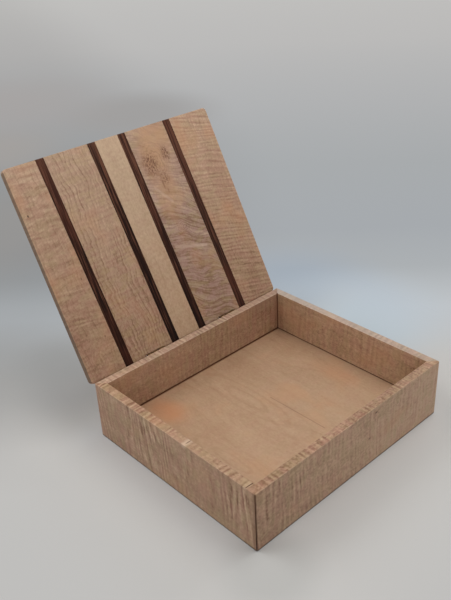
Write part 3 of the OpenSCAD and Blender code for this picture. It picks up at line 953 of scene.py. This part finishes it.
# The boards' millimetres start at the lid's left front corner, as it lies closed
boardLooks = {
    "lid_stave_1": {
        "seed": 101.0, "curlLength": 9.0, "curlDepth": 0.13, "lineDepth": 0.03, "curlSlant": -0.16,
        "curlWander": 1.6, "curlRagged": 0.6, "ringWidth": 6.0, "ringDepth": 0.26, "waver": 1.0,
        "streakDepth": 0.2, "warmth": 0.35, "flowDepth": 0.14, "fineDepth": 0.1,
        # Painted shade on the lid's left side face, from its foot settings
        "foot": 0.62, "footTall": 0.8, "footColour": (76, 63, 50), "knotColour": (62, 38, 26),
        "knots": (
            (7.0, 53.0, 0, 1.15, 1.6, 1.0), (36.0, 134.0, 0, 0.9, 2.2, 0.6),
            (16.0, 192.0, 0, 0.8, 1.2, 0.6), (36.0, 201.0, 0, 0.9, 1.6, 0.6),
        ),
        "eyes": ((21.0, 222.0, 0, 5.0, 1.5, 0.28),),
    },
    "lid_stave_2": {
        "seed": 113.0, "middle": (172, 141, 116), "curlLength": 7.0, "curlDepth": 0.06, "lineDepth": 0.02,
        "ringWidth": 4.6, "ringDepth": 0.5, "ringWander": 26.0, "waver": 1.3, "streakDepth": 0.3,
        "olive": (170, 146, 102),
    },
    "lid_stave_3": {
        "seed": 127.0, "middle": (184, 155, 128), "light": (210, 182, 150), "dark": (150, 116, 84),
        "curlDepth": 0.03, "lineDepth": 0.0, "ringWidth": 15.0, "ringDepth": 0.16, "streakDepth": 0.12,
        "warmth": 0.1, "tint": 0.2, "flowDepth": 0.04, "fineDepth": 0.0,
    },
    "lid_stave_4": {
        "seed": 139.0, "middle": (163, 135, 116), "curlDepth": 0.03, "lineDepth": 0.0, "ringDepth": 0.0,
        "flowWidth": 7.0, "flowWander": 15.0, "flowSlant": -0.4, "flowDepth": 0.4, "fineDepth": 0.3,
        "fade": 0.24, "streakDepth": 0.08, "warmth": 0.4, "pink": (168, 132, 124), "tint": 0.7,
        "flecks": (
            (174.0, 44.0, 0, 5.0, 1.3, 1.0), (199.0, 37.0, 0, 2.6, 1.8, 1.0), (186.0, 64.0, 0, 3.0, 1.3, 0.7),
        ),
        "fleckColour": (102, 58, 36), "strokeColour": (204, 176, 158),
        "strokes": ((165.0, 143.0, 0, 206.0, 155.0, 3.0, 0.42), (168.0, 72.0, 0, 184.0, 92.0, 2.6, 0.3)),
        "arcs": 2.6, "eyeColour": (118, 80, 56),
        "eyes": ((187.0, 125.0, 0, 7.0, 0.8, 0.4), (181.0, 44.0, 0, 9.0, 1.4, 0.35)),
        "knotColour": (118, 76, 50), "haloColour": (150, 112, 84),
        "knots": ((181.0, 70.0, 0, 1.6, 5.0, 0.5), (184.5, 79.0, 0, 1.3, 3.0, 0.4)),
        "patches": ((184.0, 28.0, 0, 15.0, 1.5, 0.7),), "patchColour": (188, 146, 110),
    },
    "lid_stave_5": {
        "seed": 151.0, "curlLength": 5.8, "curlDepth": 0.17, "lineDepth": 0.07, "curlEvenness": 0.6,
        "curlWander": 1.2, "curlRagged": 0.55, "curlSlant": -0.2, "ringWidth": 5.0, "ringDepth": 0.22,
        "waver": 0.6, "streakDepth": 0.16, "warmth": 0.5, "patchColour": (128, 88, 60),
        "patches": ((257.0, 212.0, 0, 3.2, 1.6, 0.45), (266.0, 192.0, 0, 2.2, 2.0, 0.4)),
    },
    "lid_strip_1": {"seed": 7.0, "redness": 0.35, "middle": (44, 25, 17)},
    "lid_strip_2": {"seed": 21.0, "redness": 0.08, "middle": (36, 19, 13), "fade": 0.5},
    "lid_strip_3": {"seed": 31.0, "redness": 0.15},
    "lid_strip_4": {"seed": 45.0, "redness": 0.4, "middle": (66, 40, 30), "fade": 0.5},
}
# Painted light: the staves lighter towards the lid's front edge, which stands at the top when open, and
# darker towards the hinge
paintedStaveLight = 0.34
lidGrain = Matrix.Translation(-lidLow * mm) @ toClosed
hingeNotches = [
    {"place": (x, 122.0, 72.7), "size": (24.2, 4.0, 6.5), "turn": 0.0} for x in (-55.0, 55.0)
]
for i, node in enumerate(boards):
    left, right = glueLines(closedPoints[node])
    kind, number = node.split("_")[1:]
    name = "lid" + kind.capitalize() + number
    piece = buildBoard(name, left if i > 0 else None, right if i < len(boards) - 1 else None, lidShape)
    for notch in hingeNotches:
        if left[0] < notch["place"][0] < right[0]:
            cutBlock(piece, notch, aboutPin)
    look = boardLooks[node]
    if kind == "strip":
        dress(piece, walnutMaterial(name + "Walnut", lidGrain, look), "lid", node)
    else:
        look = {"fade": paintedStaveLight, **look}
        dress(piece, mapleMaterial(name + "Maple", lidGrain, look), "lid", node)
print("lid built and dressed")


# Hinge leaves and pins: the CAD's own shapes with their edges eased
brass = brassMaterial(brassLook)
hingeShape = {"ease": 0.12, "sharpAngle": 30.0, "flatAngle": 0.5, "joinWithin": 1e-6, "smoothUnder": 2e-6}


def easedCopy(node, name, shape):
    work = bmesh.new()
    work.from_mesh(frame["nodes"][node].data)
    bmesh.ops.remove_doubles(work, verts=work.verts, dist=shape["joinWithin"])
    flat = math.radians(shape["flatAngle"])
    bmesh.ops.dissolve_limit(work, angle_limit=flat, verts=work.verts, edges=work.edges)
    least = math.radians(shape["sharpAngle"])
    sharp = [e for e in work.edges if len(e.link_faces) == 2 and e.calc_face_angle(0) > least]
    layer = work.verts.layers.float.new("arris")
    made = bmesh.ops.bevel(
        work, geom=sharp, offset=shape["ease"] * mm, segments=2, profile=0.5, affect="EDGES",
        clamp_overlap=True,
    )
    for face in made["faces"]:
        for vert in face.verts:
            vert[layer] = 1.0
    for face in work.faces:
        face.smooth = face.calc_area() < shape["smoothUnder"]
    mesh = bpy.data.meshes.new(name)
    work.to_mesh(mesh)
    work.free()
    return placeMesh(name, mesh)


for part, body in (("box_leaf", "box"), ("lid_leaf", "lid"), ("pin", "box")):
    for side in ("left", "right"):
        node = f"{side}_hinge_{part}"
        name = side + "".join(word.capitalize() for word in node.split("_")[1:])
        dress(easedCopy(node, name, hingeShape), brass, body, node)
print("hinges built and dressed")


# Screws: one slotted countersunk screw, set at every hole of the leaves
screwShape = {
    "Head Radius": 1.5 * mm, "Shank Radius": 0.8 * mm, "Head Height": 0.8 * mm, "Length": 7.5 * mm,
    "Slot Width": 0.45 * mm, "Slot Depth": 0.35 * mm,
}
screwDetail = {"headSides": 40, "shankSides": 24, "tip": 0.55, "neck": 0.98, "slotLong": 3.0}
screwPlaces = {"hingeX": 55.0, "apart": 8.0, "up": 4.975, "face": 0.85}


def screwTree(material, detail):
    tree = bpy.data.node_groups.new("hinge screws", "GeometryNodeTree")
    tree.interface.new_socket("Geometry", in_out="INPUT", socket_type="NodeSocketGeometry")
    sockets = {}
    for label, value in screwShape.items():
        socket = tree.interface.new_socket(label, in_out="INPUT", socket_type="NodeSocketFloat")
        socket.default_value = value
        sockets[label] = socket.identifier
    seedSocket = tree.interface.new_socket("Seed", in_out="INPUT", socket_type="NodeSocketInt")
    sockets["Seed"] = seedSocket.identifier
    tree.interface.new_socket("Geometry", in_out="OUTPUT", socket_type="NodeSocketGeometry")
    given = addNode(tree, "NodeGroupInput").outputs
    head = nextNode("GeometryNodeMeshCone", {
        "Vertices": detail["headSides"], "Radius Top": given["Shank Radius"],
        "Radius Bottom": given["Head Radius"], "Depth": given["Head Height"],
    })
    sunk = times(given["Head Height"], 0.5)
    shank = nextNode("GeometryNodeMeshCone", {
        "Vertices": detail["shankSides"], "Radius Top": times(given["Shank Radius"], detail["tip"]),
        "Radius Bottom": times(given["Shank Radius"], detail["neck"]),
        "Depth": calc("SUBTRACT", given["Length"], sunk),
    })
    moved = nextNode("GeometryNodeTransform", {
        "Geometry": shank.outputs["Mesh"], "Translation": joinAxes(Z=sunk),
    })
    slotBox = nextNode("GeometryNodeMeshCube", {"Size": joinAxes(
        X=times(given["Head Radius"], detail["slotLong"]), Y=given["Slot Width"],
        Z=times(given["Slot Depth"], 2.0),
    )})
    both = addNode(tree, "GeometryNodeMeshBoolean", operation="UNION", solver="EXACT")
    for part in (head.outputs["Mesh"], moved.outputs["Geometry"]):
        feed(part, both.inputs["Mesh 2"])
    cut = nextNode("GeometryNodeMeshBoolean", {
        "Mesh 1": both.outputs["Mesh"], "Mesh 2": slotBox.outputs["Mesh"],
    }, operation="DIFFERENCE", solver="EXACT")
    turn = nextNode("FunctionNodeRandomValue", {
        "Seed": given["Seed"], 2: 0.0, 3: math.pi,
    }, data_type="FLOAT")
    spun = nextNode("FunctionNodeEulerToRotation", {"Euler": joinAxes(Z=turn.outputs[1])})
    into = addNode(tree, "FunctionNodeEulerToRotation", {"Euler": (math.pi / 2, 0.0, 0.0)})
    facing = nextNode("FunctionNodeRotateRotation", {
        "Rotation": into.outputs[0], "Rotate By": spun.outputs[0],
    }, rotation_space="LOCAL")
    placed = nextNode("GeometryNodeInstanceOnPoints", {
        "Points": given["Geometry"], "Instance": cut.outputs["Mesh"], "Rotation": facing.outputs[0],
    })
    real = nextNode("GeometryNodeRealizeInstances", {"Geometry": placed.outputs["Instances"]})
    painted = nextNode("GeometryNodeSetMaterial", {
        "Geometry": real.outputs["Geometry"], "Material": material,
    })
    nextNode("NodeGroupOutput", {"Geometry": painted.outputs["Geometry"]})
    return tree, sockets


screwNodes, screwSockets = screwTree(brass, screwDetail)


def buildScrews(name, up, seed, turned):
    row = {key: value * mm for key, value in screwPlaces.items()}
    places = [
        (side * row["hingeX"] + end * row["apart"], pin.y - row["face"], pin.z + up * row["up"])
        for side in (-1, 1) for end in (-1, 1)
    ]
    mesh = bpy.data.meshes.new(name)
    mesh.from_pydata(places, [], [])
    piece = placeMesh(name, mesh)
    modifier = piece.modifiers.new("screws", "NODES")
    modifier.node_group = screwNodes
    for label, value in {**screwShape, "Seed": seed}.items():
        modifier[screwSockets[label]] = value
    bpy.context.view_layer.update()
    baked(piece)
    piece.data.transform(turned)
    return piece


dress(buildScrews("boxLeafScrews", -1, 5, Matrix.Identity(4)), brass, "box", "box_leaf_screws")
dress(buildScrews("lidLeafScrews", 1, 9, aboutPin), brass, "lid", "lid_leaf_screws")
print("screws set")


# A pale floor whose far part glows as a backdrop for the camera only, with painted light and shade:
# the sweep's tones, the lid's shadow and cool shade. Four soft lamps. Places on the floor are metres
# aside of the box's middle and behind it, as the camera looks
room = {
    "floor": (194, 193, 191), "floorSize": 30.0, "box": (0.14, 0.12), "heading": 43.5,
    "roughness": 0.75, "shine": 0.2,
    # nearRight and nearColour are painted light: the floor lighter towards the right and right beside the
    # box, which lifts the box's shadow there
    "nearRight": 0.02, "rightEdges": (-0.12, 0.12),
    "nearBox": (0.0, 0.05), "nearFront": (0.06, -0.02), "nearLeft": (-0.06, 0.05, 1.0, 0.4),
    "nearColour": (202, 202, 202),
    "groundTints": (  # painted shade and cool shadow tone beside the box: place, full and no effect, share, colour
        ((0.05, 0.3), (0.02, 0.1), 0.8, (174, 187, 199)),
        ((0.15, 0.21), (0.03, 0.12), 0.9, (187, 201, 210)),
        ((-0.235, 0.095), (0.02, 0.09), 0.7, (170, 170, 170)),
        ((-0.008, -0.205), (0.02, 0.06), 0.9, (183, 183, 181)),
    ),
    "awayFromBox": (0.045, 0.19),  # from here to there the floor turns into the backdrop
    "tones": (  # painted light and shade of the backdrop: behind, colour
        (0.1, (191, 190, 188)), (0.24, (191, 195, 198)), (0.36, (172, 176, 179)), (0.5, (166, 170, 174)),
        (0.8, (168, 171, 173)), (1.2, (176, 177, 178)), (1.9, (187, 186, 185)), (2.8, (192, 191, 189)),
    ),
    "leftShade": (  # behind, how much darker it is on the left
        (-0.1, 0.0), (0.06, 0.29), (0.16, 0.33), (0.28, 0.25), (0.45, 0.33), (1.0, 0.18), (2.0, 0.13),
        (3.0, 0.08),
    ),
    "leftEdges": (0.07, -0.35), "leftTurn": (1.0, 0.4),  # past this far behind, the left's edge turns
    "tints": (  # painted shade, the lid's shadow and cool shadow tones: place, full and no effect, share, colour
        ((0.04, 0.3), (0.03, 0.18), 0.85, (160, 171, 183)),
        ((0.13, 0.23), (0.03, 0.16), 0.8, (186, 196, 205)),
        ((-0.27, 1.2), (0.05, 0.25), 0.85, (160, 158, 157)),
        ((-0.62, 1.3), (0.05, 0.4), 0.6, (168, 163, 161)),
        ((-0.56, 0.95), (0.04, 0.22), 0.7, (165, 160, 156)),
        ((-0.46, 0.55), (0.05, 0.3), 0.7, (153, 150, 147)),
        ((-0.255, 0.13), (0.01, 0.09), 0.7, (148, 148, 147)),
    ),
    "besideFade": (1.0, 1.9), "seen": (191, 190, 188),
    "world": (0.97, 0.99, 1.0), "worldStrength": 0.08,
    "lamps": (  # place, watts, colour
        ((0.318, -0.318, 1.213), 9.1, (1.0, 0.985, 0.965)),
        ((-0.6, 0.6, 0.949), 8.0, (1.0, 0.99, 0.98)),
        ((1.128, 0.0, 0.51), 3.7, (1.0, 0.99, 0.98)),
        ((-0.797, -0.797, 0.51), 3.5, (1.0, 0.99, 0.98)),
    ),
    "lampSize": 0.9, "aim": (0, 0, 0.1),
}


def seenDirectly(tree):  # 1 for what the camera sees, straight or in metal or glass
    path = addNode(tree, "ShaderNodeLightPath").outputs
    direct = calc("MAXIMUM", path["Is Camera Ray"], path["Is Glossy Ray"])
    return calc("MAXIMUM", direct, path["Is Transmission Ray"])


def twoShaders(share, first, second):
    shaders = {1: first.outputs[0], 2: second.outputs[0]}
    return nextNode("ShaderNodeMixShader", {0: share, **shaders}).outputs[0]


def addPaintedShade(colour, here, tints):  # soft round areas of painted shade
    for place, reach, share, tone in tints:
        off = vectorCalc("DISTANCE", here, (*place, 0))
        colour = mixColour(softRemap(off, *reach, share, 0.0), colour, paint(*tone))
    return colour


# The backdrop's colour: painted light and shade
def backdropColour(aside, behind, here, room):
    reach = room["tones"][-1][0]
    tone = ramp(calc("DIVIDE", behind, reach), [(d / reach, paint(*c)) for d, c in room["tones"]])
    start, end = room["leftShade"][0][0], room["leftShade"][-1][0]
    stops = [((d - start) / (end - start), (v, v, v, 1.0)) for d, v in room["leftShade"]]
    depth = ramp(remap(behind, start, end), stops)
    depth = nextNode("ShaderNodeSeparateColor", {"Color": depth})
    turnFrom, turnBy = room["leftTurn"]
    edge = calc("MAXIMUM", calc("SUBTRACT", behind, turnFrom), 0.0)
    left = softRemap(add(aside, times(edge, turnBy)), *room["leftEdges"])
    shade = calc("SUBTRACT", 1.0, times(left, depth.outputs["Red"]))
    tinted = addPaintedShade(vectorCalc("SCALE", tone, shade), here, room["tints"])
    beside = softRemap(calc("ABSOLUTE", aside), *room["besideFade"])
    return mixColour(beside, tinted, paint(*room["seen"]))


def floorMaterial(room):
    made, shader, spot = newMaterial("paleFloor")
    heading = math.radians(room["heading"])
    behind = vectorCalc("DOT_PRODUCT", spot, (math.sin(heading), math.cos(heading), 0))
    aside = vectorCalc("DOT_PRODUCT", spot, (math.cos(heading), -math.sin(heading), 0))
    here = joinAxes(X=aside, Y=behind)
    axes = splitAxes(spot)
    offsets = [
        calc("MAXIMUM", calc("SUBTRACT", calc("ABSOLUTE", axes[axis]), half), 0.0)
        for axis, half in zip("XY", room["box"])
    ]
    away = calc("SQRT", add(*[calc("POWER", o, 2.0) for o in offsets]))

    # Painted light that lifts the box's shadow on the floor
    lift = times(softRemap(aside, *room["rightEdges"]), room["nearRight"])
    ground = vectorCalc("SCALE", paint(*room["floor"])[:3], add(lift, 1.0))
    near = softRemap(away, *room["nearBox"], 1.0, 0.0)
    near = times(near, softRemap(behind, *room["nearFront"]))
    near = times(near, softRemap(aside, *room["nearLeft"]))
    ground = mixColour(near, ground, paint(*room["nearColour"]))
    ground = addPaintedShade(ground, here, room["groundTints"])
    feed(ground, shader.inputs["Base Color"])
    feed(room["roughness"], shader.inputs["Roughness"])
    feed(room["shine"], shader.inputs["Specular IOR Level"])

    backdrop = backdropColour(aside, behind, here, room)
    # The far floor glows with the painted backdrop, for camera rays only
    far = nextNode("ShaderNodeEmission", {"Color": backdrop, "Strength": 1.0})
    share = times(softRemap(away, *room["awayFromBox"]), seenDirectly(made.node_tree))
    surface = made.node_tree.nodes["Material Output"].inputs["Surface"]
    feed(twoShaders(share, shader, far), surface)
    return made


def buildRoom(room):
    mesh = bpy.data.meshes.new("floor")
    half = room["floorSize"] / 2
    square = [(-half, -half, 0), (half, -half, 0), (half, half, 0), (-half, half, 0)]
    mesh.from_pydata(square, [], [(0, 1, 2, 3)])
    mesh.materials.append(floorMaterial(room))
    floor = placeMesh("floor", mesh)
    world = bpy.data.worlds.new("room")
    world.use_nodes = True
    tree = world.node_tree
    tree.nodes.clear()
    light, seen = [
        addNode(tree, "ShaderNodeBackground", {"Color": colour, "Strength": strength})
        for colour, strength in (((*room["world"], 1.0), room["worldStrength"]), (paint(*room["seen"]), 1.0))
    ]
    nextNode("ShaderNodeOutputWorld", {"Surface": twoShaders(seenDirectly(tree), light, seen)})
    scene.world = world
    for i, (place, watts, colour) in enumerate(room["lamps"]):
        data = bpy.data.lights.new(f"lamp{i + 1}", "AREA")
        data.shape = "SQUARE"
        data.size = room["lampSize"]
        data.energy = watts
        data.color = colour
        lamp = bpy.data.objects.new(data.name, data)
        lamp.location = place
        lamp.rotation_euler = (Vector(room["aim"]) - Vector(place)).to_track_quat("-Z", "Y").to_euler()
        lamp.visible_camera = False
        scene.collection.objects.link(lamp)


buildRoom(room)
scene.view_settings.view_transform = "Standard"
print("room lit")
